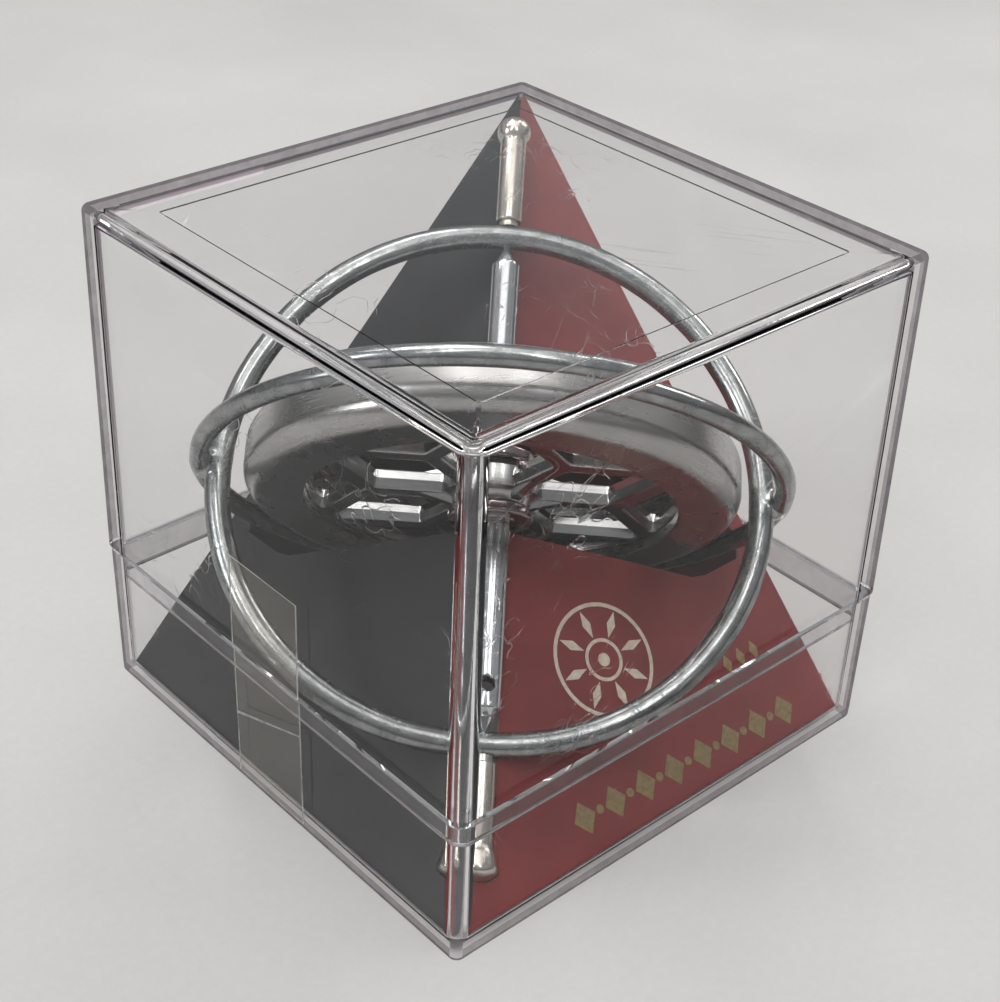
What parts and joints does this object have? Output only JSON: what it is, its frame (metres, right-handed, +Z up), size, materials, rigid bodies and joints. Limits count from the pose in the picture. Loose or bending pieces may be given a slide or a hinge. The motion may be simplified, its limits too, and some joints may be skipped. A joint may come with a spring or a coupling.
{
  "type": "toy gyroscope in clear display cube",
  "caption": "Metal gyroscope toy with ring frame and forked-spoke flywheel, leaning on a folded red and black card inside a clear plastic display cube with a lift-off lid.",
  "frame": {"origin": "middle of the cube's underside", "axes": "+Z up; the cube's walls lie along X and Y; the gyroscope's spin axis rises from the front corner (-X, -Y) to the far corner (+X, +Y)"},
  "size_m": [0.0621, 0.062, 0.06],
  "materials": {
    "clear_plastic": "clear moulded polystyrene, glossy, lightly scratched",
    "clear_tape": "clear adhesive tape",
    "red_card": "satin printed card",
    "black_card": "satin printed card",
    "ring_metal": "dull plated wire, scratched",
    "stem_metal": "turned and nickel plated",
    "axle_steel": "polished steel",
    "wheel_metal": "satin plated casting",
    "collar_metal": "polished"
  },
  "bodies": {
    "base": {"base_tray": "clear_plastic", "tape_lower": "clear_tape"},
    "lid": {"lid_shell": "clear_plastic", "tape_upper": "clear_tape"},
    "insert": {"card_red_panel": "red_card", "card_black_panel": "black_card", "card_back_right": "red_card", "card_back_left": "black_card", "polar_ring": "ring_metal", "equator_ring": "ring_metal", "weld_beads": "ring_metal", "ball_stem": "stem_metal", "foot_stem": "stem_metal"},
    "rotor": {"axle": "axle_steel", "flywheel": "wheel_metal", "hub_collar_lower": "collar_metal", "hub_collar_upper": "collar_metal"}
  },
  "joints": [
    {"name": "lid_lift", "type": "slide", "parent": "base", "child": "lid", "axis": [0, 0, 1], "range_m": [0, 0.11]},
    {"name": "insert_lift", "type": "slide", "parent": "base", "child": "insert", "axis": [0, 0, 1], "range_m": [0, 0.044]},
    {"name": "rotor_spin", "type": "hinge", "parent": "insert", "child": "rotor", "pos_m": [-0.00053, -0.00062, 0.03012], "axis": [0.5546, 0.5703, 0.606], "continuous": true}
  ],
  "couplings": [
    {"joint": "insert_lift", "follows": "lid_lift", "ratio": 0.4}
  ]
}
